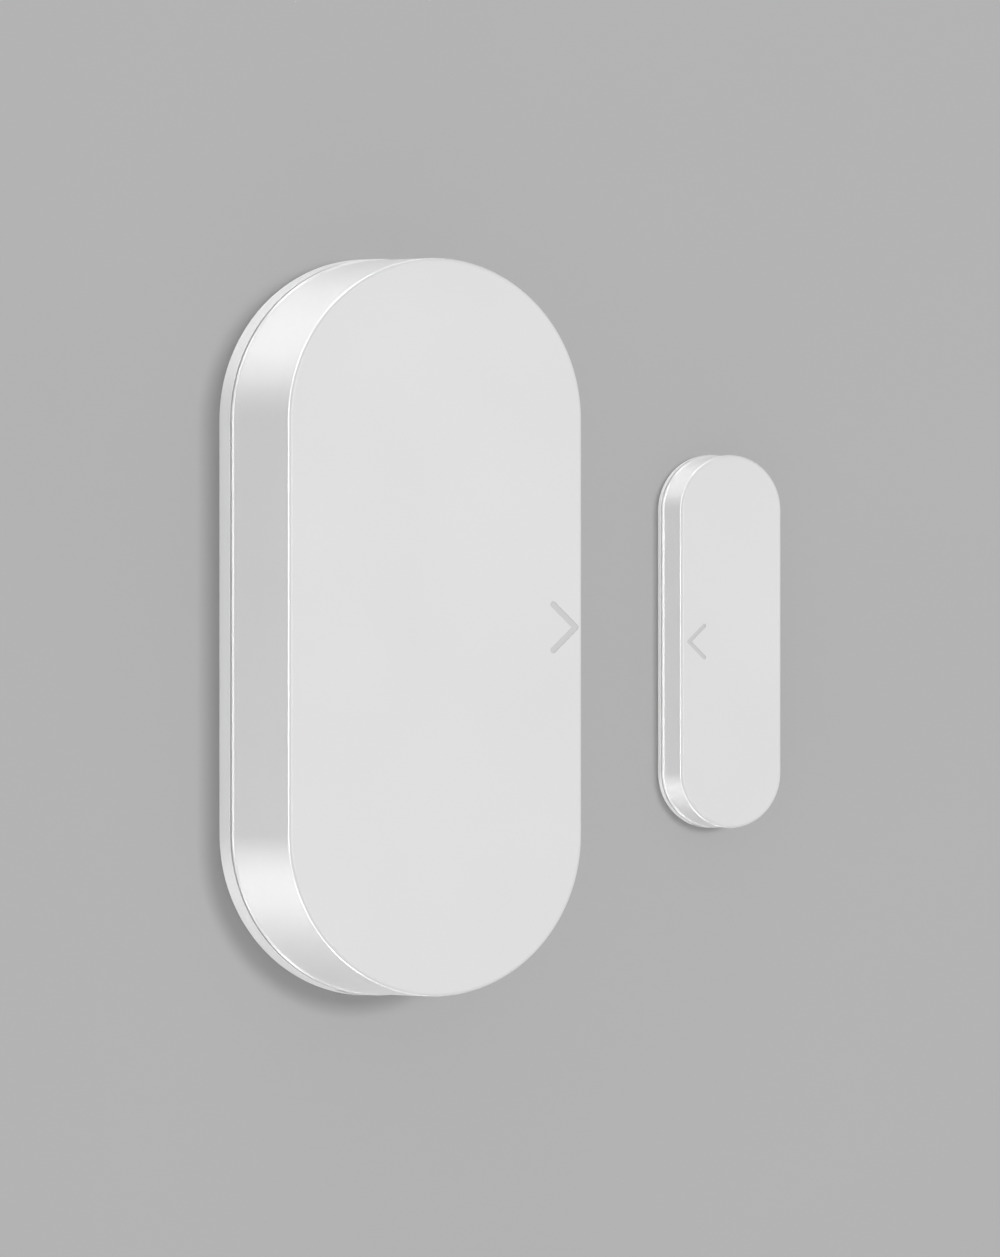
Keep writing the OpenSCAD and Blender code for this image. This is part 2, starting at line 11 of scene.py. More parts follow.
import bmesh
import bpy
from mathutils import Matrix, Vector

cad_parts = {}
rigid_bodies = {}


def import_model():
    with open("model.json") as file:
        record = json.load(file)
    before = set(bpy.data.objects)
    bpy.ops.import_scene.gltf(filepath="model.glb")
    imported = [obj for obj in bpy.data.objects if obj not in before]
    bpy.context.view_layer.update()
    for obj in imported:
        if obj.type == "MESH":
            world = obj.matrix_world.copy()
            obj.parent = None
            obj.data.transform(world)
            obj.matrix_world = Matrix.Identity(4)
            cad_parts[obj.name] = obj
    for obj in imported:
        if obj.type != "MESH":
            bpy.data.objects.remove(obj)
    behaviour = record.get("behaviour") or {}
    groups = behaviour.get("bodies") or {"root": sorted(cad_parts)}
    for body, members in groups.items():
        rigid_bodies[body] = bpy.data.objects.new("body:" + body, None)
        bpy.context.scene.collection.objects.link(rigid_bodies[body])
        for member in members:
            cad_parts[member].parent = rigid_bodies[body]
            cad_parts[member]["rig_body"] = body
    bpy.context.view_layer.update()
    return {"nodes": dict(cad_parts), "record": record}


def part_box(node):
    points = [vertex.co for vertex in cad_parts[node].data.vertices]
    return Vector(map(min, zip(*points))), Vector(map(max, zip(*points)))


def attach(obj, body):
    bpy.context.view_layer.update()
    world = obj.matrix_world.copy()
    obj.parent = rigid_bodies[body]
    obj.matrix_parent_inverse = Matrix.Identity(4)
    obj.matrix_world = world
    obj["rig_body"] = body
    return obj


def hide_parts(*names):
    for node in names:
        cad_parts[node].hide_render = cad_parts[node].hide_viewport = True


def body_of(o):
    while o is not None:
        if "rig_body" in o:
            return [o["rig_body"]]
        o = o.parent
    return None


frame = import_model()

MM = 0.001
MERGE = 0.0001 * MM
SHARP = math.radians(35)
random.seed(7)

# Sizes that the frame's boxes don't give. The casings' depths are measured from the wall.
COVERS = {
    "front_cover": {
        "mark": "cover_chevron", "points": 1, "stroke": 0.6,
        "wall": 1.6, "front_round": 0.36, "rear_lip": 0.13,
        "pocket": {"wall": 1.05, "width": 6.8, "back": 7.45, "front": 8.95},
    },
    "magnet_cover": {
        "mark": "magnet_chevron", "points": -1, "stroke": 0.38,
        "wall": 1.0, "front_round": 0.3, "rear_lip": 0.12,
        "pocket": {"wall": 0.7, "width": 3.8, "back": 2.85, "front": 4.05},
    },
}
BASES = {
    "base_plate": {
        "screws": "wall_screws", "countersink": 2.9, "pad": "adhesive_pad", "pad_recess": 0.8,
        "depths": {"back": 0.3, "rim": 2.9, "seat": 3.3, "top": 5.8, "floor": 2.3},
        "insets": {"seam": 0.6, "spigot": 1.7, "inner": 2.7},
        "notch": {"width": 8, "height": 1.1, "depth": 0.9}, "gap_width": 6.8,
    },
    "magnet_base": {
        "screws": "magnet_wall_screws", "countersink": 0, "pad": "magnet_adhesive_pad", "pad_recess": 0.6,
        "depths": {"back": 0.2, "rim": 1.0, "seat": 1.3, "top": 2.7, "floor": 1.6},
        "insets": {"seam": 0.35, "spigot": 1.08, "inner": 1.78},
        "notch": {"width": 4, "height": 0.7, "depth": 0.4}, "gap_width": 3.8,
    },
}
BOARD_CORNER = 6
# How far the board's copper, pads and print stand over its front, and how deep they start in it.
COPPER = 0.03
PAD = 0.04
PRINT = 0.015
SUNK = 0.02
TRACK_WIDTH = 0.2
PIN_COUNT = 8
PIN_PITCH = 0.5
VIA_TRIES = 26
VIA_RADIUS = 0.28
TEST_PADS = [(-2.4 + 1.3 * i, 24.9) for i in range(4)]
CLIP_SHEET = 0.3
CELL_SHEET = 0.25
SHIELD_SHEET = 0.2
REED_BORE = 0.75
REED_SEAL = 1.8
REED_BEND = 0.6
WIRE = 0.3


# ---- Reading the frame ----


def depth_box(lo, hi):
    """A box in the frame in millimetres: centre x and z, width w, height h, depths back and front."""
    return {
        "x": (lo.x + hi.x) / 2 / MM,
        "z": (lo.z + hi.z) / 2 / MM,
        "w": (hi.x - lo.x) / MM,
        "h": (hi.z - lo.z) / MM,
        "back": -hi.y / MM,
        "front": -lo.y / MM,
    }


def place(node):
    return depth_box(*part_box(node))


def solids(node):
    """One box for each separate solid of a CAD node, from the top down and then from left to right."""
    bm = bmesh.new()
    bm.from_mesh(frame["nodes"][node].data)
    bmesh.ops.remove_doubles(bm, verts=bm.verts, dist=MERGE)
    left = set(bm.verts)
    boxes = []
    while left:
        island = {left.pop()}
        edge = list(island)
        while edge:
            near = {e.other_vert(v) for v in edge for e in v.link_edges} & left
            left -= near
            island |= near
            edge = list(near)
        lo, hi = (Vector([pick(v.co[i] for v in island) for i in range(3)]) for pick in (min, max))
        boxes.append(depth_box(lo, hi))
    bm.free()
    return sorted(boxes, key=lambda b: (-round(b["z"], 2), round(b["x"], 2), b["back"]))


def mount(name):
    return next(m for m in frame["record"]["mounts"] if m["name"] == name)


# ---- Building meshes ----


def world(x, z, depth):
    return Vector((x, -depth, z)) * MM


def rounded(*corners, steps=5):
    """Path through (inset, depth, radius) corners, each turned into an arc of its radius."""
    path = []
    for i, (u, v, r) in enumerate(corners):
        here = Vector((u, v))
        if r == 0 or i in (0, len(corners) - 1):
            path.append(here)
            continue
        back = (Vector(corners[i - 1][:2]) - here).normalized()
        ahead = (Vector(corners[i + 1][:2]) - here).normalized()
        half = back.angle(ahead) / 2
        centre = here + (back + ahead).normalized() * r / math.sin(half)
        first = here + back * r / math.tan(half) - centre
        last = here + ahead * r / math.tan(half) - centre
        path += [centre + r * first.slerp(last, k / steps) for k in range(steps + 1)]
    return path


def ring(x, z, w, h, r, inset, depth, steps):
    """Points round a rectangle with corners of radius r, pulled in by inset."""
    half_w, half_h, r = w / 2 - inset, h / 2 - inset, max(r - inset, 0)
    points = []
    for quarter, (sx, sz) in enumerate(((1, 1), (-1, 1), (-1, -1), (1, -1))):
        for i in range(steps + 1):
            a = (quarter + i / steps) * math.pi / 2
            across = x + sx * (half_w - r) + r * math.cos(a)
            up = z + sz * (half_h - r) + r * math.sin(a)
            points.append(world(across, up, depth))
    return points


def skin(bm, rings, closed):
    """Joins rings of points into a surface, with flat ends unless it closes on itself."""
    rows = [[bm.verts.new(p) for p in points] for points in rings]
    count = len(rows[0])
    for a, b in zip(rows, rows[1:] + (rows[:1] if closed else [])):
        for i in range(count):
            j = (i + 1) % count
            bm.faces.new((a[i], a[j], b[j], b[i]))
    if not closed:
        bm.faces.new(rows[0][::-1])
        bm.faces.new(rows[-1])


def slab(bm, x, z, w, h, r, path, closed=False, steps=8):
    """Solid with a round-cornered outline whose section follows (inset, depth) points."""
    skin(bm, [ring(x, z, w, h, r, inset, depth, steps) for inset, depth in path], closed)


def eased(back, front, edge, flat):
    """Section of a straight side whose back and front edges are rounded."""
    return rounded((flat, back, 0), (0, back, edge), (0, front, edge), (flat, front, 0), steps=3)


def block(bm, b, r=0.05, edge=0.05, back=None, front=None, grow=0):
    """Box with rounded sides and rounded back and front edges, in the place of a CAD box."""
    back = b["back"] if back is None else back
    front = b["front"] if front is None else front
    path = eased(back, front, edge, edge + 0.02)
    slab(bm, b["x"], b["z"], b["w"] + 2 * grow, b["h"] + 2 * grow, r + edge, path, steps=4)


def end_blocks(bm, b, inset, w, **shape):
    """Blocks of width w over the left and right ends of a part, centred inset from its sides."""
    for side in (-1, 1):
        block(bm, dict(b, x=b["x"] + side * (b["w"] / 2 - inset), w=w), **shape)


def disc(bm, x, z, radius, path, closed=False, steps=16):
    """Turned solid. The path's insets are taken from the radius."""
    slab(bm, x, z, 2 * radius, 2 * radius, radius, path, closed, steps)


def plain_disc(bm, x, z, radius, back, front, edge=0.05, steps=16):
    disc(bm, x, z, radius, eased(back, front, edge, edge * 1.2), steps=steps)


def prism(bm, outline, back, front):
    """Straight solid over a front-view outline of (x, z) points."""
    skin(bm, [[world(x, z, d) for x, z in outline] for d in (back, front)], False)


def sheet_strip(bm, side, x0, x1):
    """Straight solid across x over a side-view outline of (z, depth) points."""
    skin(bm, [[world(x, z, d) for z, d in side] for x in (x0, x1)], False)


def tube(bm, points, radius, sides=16):
    """Round wire through points in metres, with flat ends."""
    side = Vector((1, 0, 0))
    turn = [2 * math.pi * k / sides for k in range(sides)]
    rings = []
    for i, p in enumerate(points):
        along = (points[min(i + 1, len(points) - 1)] - points[max(i - 1, 0)]).normalized()
        up = along.cross(side).normalized()
        rings.append([p + (side * math.cos(a) + up * math.sin(a)) * radius * MM for a in turn])
    skin(bm, rings, False)


def arc(centre, radius, start, end, steps):
    """Points along an arc in the front view, from one angle in degrees to another."""
    angles = [math.radians(start + (end - start) * k / steps) for k in range(steps + 1)]
    return [(centre[0] + radius * math.cos(a), centre[1] + radius * math.sin(a)) for a in angles]


def to_mesh(name, bm):
    bmesh.ops.remove_doubles(bm, verts=bm.verts, dist=MERGE)
    bmesh.ops.dissolve_degenerate(bm, edges=bm.edges, dist=MERGE)
    bmesh.ops.recalc_face_normals(bm, faces=bm.faces)
    mesh = bpy.data.meshes.new(name)
    bm.to_mesh(mesh)
    bm.free()
    return mesh


def into_scene(name, data):
    obj = bpy.data.objects.new(name, data)
    bpy.context.scene.collection.objects.link(obj)
    return obj


def new_object(name, bm):
    return into_scene(name, to_mesh(name, bm))


def soften(obj, bevel):
    """An optional small bevel along the edges, and normals that keep the flat faces flat."""
    if bevel:
        mod = obj.modifiers.new("edge_bevel", "BEVEL")
        mod.width = bevel * MM
        mod.segments = 2
        mod.limit_method = "ANGLE"
        mod.angle_limit = SHARP
    weighted = obj.modifiers.new("flat_faces", "WEIGHTED_NORMAL")
    weighted.keep_sharp = not bevel
    weighted.weight = 80


def shade(obj, bevel=0):
    """Smooth shading that stays crisp at edges."""
    obj.data.shade_smooth()
    obj.data.set_sharp_from_angle(angle=SHARP)
    soften(obj, bevel)


def paint(obj, material):
    obj.data.materials.clear()
    obj.data.materials.append(material)


def carve(obj, bm, operation="DIFFERENCE"):
    """Cuts the shape in bm out of obj, or joins it on, and keeps the result as obj's own mesh."""
    tool = new_object("tool", bm)
    mod = obj.modifiers.new("carve", "BOOLEAN")
    mod.operation = operation
    mod.solver = "EXACT"
    mod.use_self = True
    mod.object = tool
    graph = bpy.context.evaluated_depsgraph_get()
    graph.update()
    result = bpy.data.meshes.new_from_object(obj.evaluated_get(graph))
    old = obj.data
    obj.modifiers.remove(mod)
    obj.data = result
    bpy.data.meshes.remove(old)
    bpy.data.objects.remove(tool)


def dress(obj, slot, body, bevel=0):
    """Gives a new piece its shading, its finish and the body it rides on."""
    shade(obj, bevel)
    paint(obj, finish_of(slot))
    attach(obj, body)


def add_detail(name, bm, slot):
    """A piece that the CAD doesn't have, on the main unit's base."""
    dress(new_object(name, bm), slot, "sensor_base")


def stand_for(obj, node, bevel=0):
    """The piece takes over a CAD node: its body, its finish and its place."""
    dress(obj, SLOT_OF[node], body_of(frame["nodes"][node])[0], bevel)
    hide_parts(node)


def swap(name, bm, node, cuts=None, bevel=0):
    """A new piece made from bm, less the shape in cuts, takes over a CAD node."""
    obj = new_object(name, bm)
    if cuts is not None:
        carve(obj, cuts)
    stand_for(obj, node, bevel)


def swap_block(name, node, **shape):
    bm = bmesh.new()
    block(bm, place(node), **shape)
    swap(name, bm, node)


# ---- Finishes ----

SLOT_OF = {part["node"]: part["material_slot"] for part in frame["record"]["subparts"]}
FINISHES = {}


class Finish:
    """A material whose colour, roughness and relief come from textures in the piece's own frame."""

    def __init__(self, name, roughness, metallic=0.0, **sockets):
        self.material = bpy.data.materials.new(name)
        self.material.use_nodes = True
        self.tree = self.material.node_tree
        self.shader = self.tree.nodes["Principled BSDF"]
        sockets.update(Metallic=metallic, Roughness=roughness)
        for socket, value in sockets.items():
            self.shader.inputs[socket.replace("_", " ")].default_value = value
        self.where = self.tree.nodes.new("ShaderNodeTexCoord").outputs["Object"]

    def node(self, kind, **inputs):
        made = self.tree.nodes.new("ShaderNode" + kind)
        for socket, value in inputs.items():
            self.feed(made.inputs[socket.replace("_", " ")], value)
        return made

    def feed(self, socket, value):
        if isinstance(value, bpy.types.NodeSocket):
            self.tree.links.new(value, socket)
        else:
            socket.default_value = value

    def stretched(self, scale):
        """The piece's coordinates, scaled apart along its axes."""
        return self.node("Mapping", Vector=self.where, Scale=scale).outputs["Vector"]

    def noise(self, size, detail=3.0, where=None):
        """Noise from 0 to 1 whose features are about size millimetres across."""
        made = self.node("TexNoise", Vector=where or self.where, Scale=1 / (size * MM), Detail=detail)
        return made.outputs["Fac"]

    def cells(self, size):
        return self.node("TexVoronoi", Vector=self.where, Scale=1 / (size * MM)).outputs["Distance"]

    def ranged(self, value, low, high, start=0.3, end=0.7):
        made = self.node("MapRange", Value=value, From_Min=start, From_Max=end, To_Min=low, To_Max=high)
        return made.outputs["Result"]

    def tinted(self, factor, first, second):
        mix = self.node("Mix")
        mix.data_type = "RGBA"
        self.feed(mix.inputs["Factor"], factor)
        for socket, colour in (("A", first), ("B", second)):
            target = next(s for s in mix.inputs if s.name == socket and s.type == "RGBA")
            self.feed(target, colour if isinstance(colour, bpy.types.NodeSocket) else (*colour, 1))
        return next(s for s in mix.outputs if s.type == "RGBA")

    def varied(self, source, colour, low, high):
        """The colour at two brightnesses, mixed by a texture."""
        return self.tinted(self.ranged(source, 0, 1), shaded(colour, low), shaded(colour, high))

    def colour(self, value):
        self.feed(self.shader.inputs["Base Color"], value)

    def rough(self, source, low, high):
        self.feed(self.shader.inputs["Roughness"], self.ranged(source, low, high))

    def relief(self, height, depth):
        """Bump whose full height is depth millimetres."""
        bump = self.node("Bump", Height=height, Distance=depth * MM, Strength=1.0)
        self.feed(self.shader.inputs["Normal"], bump.outputs["Normal"])


def shaded(colour, factor):
    return tuple(min(c * factor, 1) for c in colour)


def moulded(name, colour, roughness, grain=0.16, relief=0.0016, drift=0.012):
    """Moulded plastic: an even colour with a slow drift, and a fine spark-eroded grain."""
    f = Finish(name, roughness, IOR=1.47)
    slow = f.noise(14, detail=2)
    grained = f.noise(grain, detail=2)
    drifted = f.varied(slow, colour, 1 - drift, 1 + drift)
    f.colour(f.tinted(f.ranged(grained, 0, 0.35, 0.55, 0.8), drifted, shaded(colour, 0.93)))
    f.rough(grained, roughness - 0.06, roughness + 0.07)
    f.relief(grained, relief)
    return f.material


def foam(name, colour):
    """Closed-cell foam tape: small cells with darker rims."""
    f = Finish(name, 0.85, IOR=1.4)
    cells = f.cells(0.28)
    f.colour(f.tinted(f.ranged(cells, 0, 1, 0.05, 0.6), shaded(colour, 1.12), shaded(colour, 0.72)))
    f.rough(f.noise(1.5), 0.78, 0.95)
    f.relief(cells, 0.05)
    return f.material


def solder_mask(name, colour):
    """Lacquered board: glass weave showing faintly through a glossy coat."""
    f = Finish(name, 0.3, IOR=1.5, Coat_Weight=0.4, Coat_Roughness=0.12)
    crossed = f.node("Math")
    crossed.operation = "MULTIPLY"
    for socket, direction in zip(crossed.inputs, ("X", "Z")):
        wave = f.node("TexWave", Vector=f.where, Scale=1 / (9 * MM), Distortion=1.2, Detail=1.0)
        wave.bands_direction = direction
        f.feed(socket, wave.outputs["Fac"])
    woven = f.tinted(crossed.outputs[0], shaded(colour, 0.85), shaded(colour, 1.15))
    f.colour(f.tinted(f.ranged(f.noise(4), 0, 0.5), woven, shaded(colour, 0.75)))
    f.rough(f.noise(0.8), 0.22, 0.38)
    f.relief(crossed.outputs[0], 0.004)
    return f.material


def plated(name, colour, roughness, size=0.5, stretch=(1, 1, 1), stain=0.88):
    """Plated or rolled metal: fine lines or mottling, and faint staining."""
    f = Finish(name, roughness, metallic=1.0)
    fine = f.noise(size, detail=5, where=f.stretched(stretch))
    clouds = f.noise(3.5)
    lined = f.varied(fine, colour, 0.93, 1.05)
    f.colour(f.tinted(f.ranged(clouds, 0, 0.6, 0.5, 0.8), lined, shaded(colour, stain)))
    f.rough(fine, roughness - 0.07, roughness + 0.1)
    f.relief(fine, 0.003)
    return f.material


def chip_body(name, colour, roughness=0.6, speck=1.8):
    """Moulded epoxy or fired ceramic: speckled, with a dull, slightly uneven surface."""
    f = Finish(name, roughness, IOR=1.5)
    specks = f.cells(0.12)
    clouded = f.varied(f.noise(1.2), colour, 0.85, 1.15)
    f.colour(f.tinted(f.ranged(specks, 0.4, 0, 0.0, 0.35), clouded, shaded(colour, speck)))
    f.rough(f.noise(0.3), roughness - 0.1, roughness + 0.1)
    f.relief(f.noise(0.1), 0.004)
    return f.material


def clear_glass(name, colour):
    """Drawn glass tube, faintly green, with slight waviness along its length."""
    f = Finish(name, 0.03, IOR=1.51, Transmission_Weight=1.0)
    waves = f.noise(1.2, where=f.stretched((1, 1, 0.15)))
    f.colour(f.varied(waves, colour, 1, 1.08))
    f.rough(waves, 0.02, 0.06)
    f.relief(waves, 0.006)
    return f.material


def resin(name, colour):
    """Clear light-emitting-diode resin over a yellowish fill."""
    f = Finish(name, 0.18, IOR=1.53, Transmission_Weight=0.35, Coat_Weight=0.5)
    f.colour(f.varied(f.noise(0.5), colour, 1, 0.85))
    f.rough(f.noise(0.2), 0.12, 0.25)
    f.relief(f.noise(0.3), 0.004)
    return f.material


MAKERS = {
    "white_plastic": lambda n: moulded(n, (0.83, 0.83, 0.83), 0.36),
    "base_plastic": lambda n: moulded(n, (0.8, 0.8, 0.8), 0.45, grain=0.22, relief=0.003),
    "mark_grey": lambda n: moulded(n, (0.67, 0.67, 0.67), 0.5, grain=0.1),
    "button_white": lambda n: moulded(n, (0.78, 0.78, 0.75), 0.5),
    "black_plastic": lambda n: moulded(n, (0.022, 0.022, 0.025), 0.48, relief=0.006, drift=0.15),
    "gasket_green": lambda n: moulded(n, (0.2, 0.34, 0.3), 0.5, relief=0.003),
    "foam_tape": lambda n: foam(n, (0.5, 0.52, 0.54)),
    "solder_mask": lambda n: solder_mask(n, (0.012, 0.13, 0.06)),
    "chip_black": lambda n: chip_body(n, (0.022, 0.022, 0.024)),
    "capacitor_tan": lambda n: chip_body(n, (0.36, 0.24, 0.14), 0.4, speck=1.2),
    "tantalum_yellow": lambda n: chip_body(n, (0.72, 0.42, 0.08), 0.45, speck=1.1),
    "antenna_ceramic": lambda n: chip_body(n, (0.76, 0.74, 0.68), 0.5, speck=0.9),
    "electrode_mix": lambda n: chip_body(n, (0.03, 0.03, 0.033), 0.8),
    "led_resin": lambda n: resin(n, (0.85, 0.8, 0.55)),
    "reed_glass": lambda n: clear_glass(n, (0.8, 0.93, 0.88)),
    "zinc_steel": lambda n: plated(n, (0.66, 0.67, 0.69), 0.3),
    "spring_nickel": lambda n: plated(n, (0.7, 0.69, 0.66), 0.28, stretch=(1, 1, 0.12)),
    "spring_gold": lambda n: plated(n, (0.86, 0.62, 0.28), 0.28),
    "cell_nickel": lambda n: plated(n, (0.74, 0.74, 0.73), 0.24, size=0.6, stretch=(0.08, 1, 1)),
    "lead_alloy": lambda n: plated(n, (0.68, 0.68, 0.66), 0.3, stretch=(1, 1, 0.2)),
    "shield_tin": lambda n: plated(n, (0.72, 0.73, 0.74), 0.34, size=0.9),
    "magnet_nickel": lambda n: plated(n, (0.62, 0.62, 0.63), 0.22, size=0.7, stretch=(1, 1, 0.1)),
}


def finish_of(slot):
    if slot not in FINISHES:
        FINISHES[slot] = MAKERS[slot](slot)
    return FINISHES[slot]


def keep_node(node, bevel):
    """A CAD node whose shape is right: it keeps its mesh and gets an edge bevel and its finish."""
    soften(frame["nodes"][node], bevel)
    paint(frame["nodes"][node], finish_of(SLOT_OF[node]))


# ---- Casings ----


def chevron_outline(mark, stroke, direction):
    """Outline of a two-armed mark with round ends that fills the CAD mark's box and points along x."""
    s = stroke / 2
    rise = mark["h"] / 2 - s
    run = mark["w"] - stroke
    tip = Vector((mark["w"] / 2 - s, 0))
    top, foot = tip + Vector((-run, rise)), tip + Vector((-run, -rise))
    along = [(tip - top).normalized(), (foot - tip).normalized()]
    out = [Vector((-a.y, a.x)) for a in along]
    angle = [math.degrees(math.atan2(o.y, o.x)) for o in out]
    middle = (out[0] + out[1]).normalized()
    inner = tip - middle * s / middle.dot(out[0])
    points = arc(tip, s, angle[0], angle[1], 8)
    points += arc(foot, s, angle[1], angle[1] - 180, 10)
    points.append(tuple(inner))
    points += arc(top, s, angle[0] + 180, angle[0], 10)
    return [(mark["x"] + direction * x, mark["z"] + z) for x, z in points]


def build_cover(node, size):
    """Pill-shaped cover, open at the back, with a groove for its mark and pockets for the snap arms."""
    c, mark, pocket = place(node), place(size["mark"]), size["pocket"]
    wall, front_round, lip = size["wall"], size["front_round"], size["rear_lip"]
    flat = front_round + 0.03
    inner = c["front"] - wall
    path = rounded(
        (flat, c["front"], 0), (0, c["front"], front_round),
        (lip, c["back"] + 1.75 * lip, 0.06), (0, c["back"] + 0.3 * lip, 0.02),
        (0, c["back"], 0.02), (wall, c["back"], 0.12),
        (wall, inner, 0.4), (wall + 0.6, inner, 0),
        steps=8,
    )
    bm = bmesh.new()
    slab(bm, c["x"], c["z"], c["w"], c["h"], c["w"] / 2, path, steps=48)
    cuts = bmesh.new()
    outline = chevron_outline(mark, size["stroke"], size["points"])
    prism(cuts, outline, mark["back"], c["front"] + 1)
    left, right = c["x"] - pocket["width"] / 2, c["x"] + pocket["width"] / 2
    for end in (-1, 1):
        deep = c["z"] + end * (c["h"] / 2 - pocket["wall"])
        open_side = c["z"] + end * (c["h"] / 2 - wall - 1)
        corners = [(left, deep), (right, deep), (right, open_side), (left, open_side)]
        prism(cuts, corners, pocket["back"], pocket["front"])
    swap(node + "_shell", bm, node, cuts)
    inlay = bmesh.new()
    prism(inlay, outline, mark["back"], mark["front"])
    swap(size["mark"] + "_inlay", inlay, size["mark"], bevel=0.03)


def build_base(node, size):
    """Base plate: rim, seam step, spigot with two gaps, screw holes and a notch for prying."""
    b = place(node)
    back, rim, seat, top, floor = size["depths"].values()
    seam, spigot, inner = size["insets"].values()
    path = rounded(
        (0.5, back, 0), (0, back, 0.15),
        (0, rim, 0.05), (seam, rim - 0.5 * seam, 0.04),
        (seam, seat, 0), (spigot, seat, 0.04),
        (spigot, top, 0.15), (inner, top, 0.15),
        (inner, floor, 0.2), (inner + 0.5, floor, 0),
        steps=4,
    )
    bm = bmesh.new()
    slab(bm, b["x"], b["z"], b["w"], b["h"], b["w"] / 2, path, steps=40)
    base = new_object(node + "_moulding", bm)
    screws, sink = mount(size["screws"])["dims"], size["countersink"]
    radius = screws["hole_r_mm"]
    heights = [b["z"] + end * screws["spacing_y_mm"] / 2 for end in (-1, 1)]
    cuts = bmesh.new()
    gap = [(0, seat + 0.001), (0, top + 1)]
    for z in (b["z"] - b["h"] / 2, b["z"] + b["h"] / 2):
        slab(cuts, b["x"], z, size["gap_width"], b["w"] / 2, 0, gap, steps=1)
    for z in heights:
        start = floor - 0.9 if sink else back - 1
        disc(cuts, b["x"], z, sink or radius, [(0, start), (0, floor + 1)])
    carve(base, cuts)
    bores = bmesh.new()
    if sink:
        for z in heights:
            disc(bores, b["x"], z, radius, [(0, back - 1), (0, floor)])
    notch = size["notch"]
    section = [(0, rim - notch["depth"]), (0, rim + 0.2)]
    slab(bores, b["x"], b["z"] - b["h"] / 2, notch["width"], 2 * notch["height"], 0.2, section, steps=3)
    carve(base, bores)
    return base


def pad_recess(base, pad_node, depth):
    pad = place(pad_node)
    bm = bmesh.new()
    w, h = pad["w"] + 0.4, pad["h"] + 0.4
    slab(bm, pad["x"], pad["z"], w, h, w / 2, [(0, -1), (0, depth)], steps=32)
    carve(base, bm)


def build_pad(node):
    """Foam pad with slightly slack edges."""
    p = place(node)
    bulge = 0.06
    middle = (p["back"] + p["front"]) / 2
    path = rounded(
        (0.4, p["back"], 0), (bulge, p["back"], 0.05),
        (0, middle, 0.3), (bulge, p["front"], 0.05),
        (0.4, p["front"], 0),
        steps=4,
    )
    bm = bmesh.new()
    slab(bm, p["x"], p["z"], p["w"], p["h"], p["w"] / 2, path, steps=32)
    swap(node + "_foam", bm, node)


def build_casings():
    for node, size in COVERS.items():
        build_cover(node, size)
    for node, size in BASES.items():
        base = build_base(node, size)
        pad_recess(base, size["pad"], size["pad_recess"])
        if node == "base_plate":
            add_board_posts(base)
        else:
            add_magnet_stops(base)
        stand_for(base, node)
        build_pad(size["pad"])
    keep_node("cover_snap_arms", 0.08)
    keep_node("magnet_snap_arms", 0.05)


def add_board_posts(base):
    """Four posts under the board: two take its screws and two end in locating pins."""
    board = place("circuit_board")
    radius, pilot, shoulder, foot = 1.9, 0.85, 0.95, 2.0
    tip = board["front"] + 0.6
    pin = rounded(
        (0.5, foot, 0), (0, foot, 0),
        (0, board["back"], 0.05), (shoulder, board["back"], 0),
        (shoulder, tip, 0.3), (1.3, tip, 0),
    )
    posts = bmesh.new()
    pilots = bmesh.new()
    for screw in solids("board_screws"):
        x, z = screw["x"], screw["z"]
        plain_disc(posts, x, z, radius, foot, board["back"])
        disc(pilots, x, z, pilot, [(0, screw["back"] - 0.3), (0, board["back"] + 1)])
        disc(posts, -x, z, radius, pin)
    carve(base, posts, "UNION")
    carve(base, pilots)


def add_magnet_stops(base):
    bar = place("bar_magnet")
    thick = 0.6
    stops = bmesh.new()
    for end in (-1, 1):
        z = bar["z"] + end * (bar["h"] / 2 + thick / 2)
        stop = {"x": bar["x"], "z": z, "w": 5, "h": thick}
        block(stops, stop, r=0.1, edge=0.1, back=1.4, front=bar["back"] + 1.3)
    carve(base, stops, "UNION")


def build_magnet():
    swap_block("bar_magnet_plated", "bar_magnet", r=0.25, edge=0.3)


# ---- Circuit board ----

BOARD_FRONT = place("circuit_board")["front"]


def build_board():
    b = place("circuit_board")
    bm = bmesh.new()
    edge = 0.04
    path = rounded((0.1, b["back"], 0), (0, b["back"], edge), (0, b["front"], edge), (0.1, b["front"], 0))
    slab(bm, b["x"], b["z"], b["w"], b["h"], BOARD_CORNER, path, steps=12)
    holes = bmesh.new()
    through = [(0, b["back"] - 1), (0, b["front"] + 1)]
    screw_hole, pin_hole, lead_hole = 1.15, 1.05, 0.42
    for screw in solids("board_screws"):
        disc(holes, screw["x"], screw["z"], screw_hole, through)
        disc(holes, -screw["x"], screw["z"], pin_hole, through)
    for x, z in reed_feet():
        disc(holes, x, z, lead_hole, through, steps=6)
    swap("circuit_board_laminate", bm, "circuit_board", holes)


def reed_feet():
    """Where the reed switch's two leads go through the board."""
    high, low = place("reed_moving_lead"), place("reed_fixed_lead")
    return (high["x"], high["z"] + high["h"] / 2 - 0.3), (low["x"], low["z"] - low["h"] / 2 + 0.3)


def pad_section():
    """Section of a solder pad on the board's front."""
    return [(0.02, BOARD_FRONT - SUNK), (0, BOARD_FRONT + PAD / 2), (0.02, BOARD_FRONT + PAD)]


def band_section(height, width):
    """Section of a raised outline on the board's front."""
    low, high = BOARD_FRONT - SUNK, BOARD_FRONT + height
    return [(0, low), (0, high), (width, high), (width, low)]


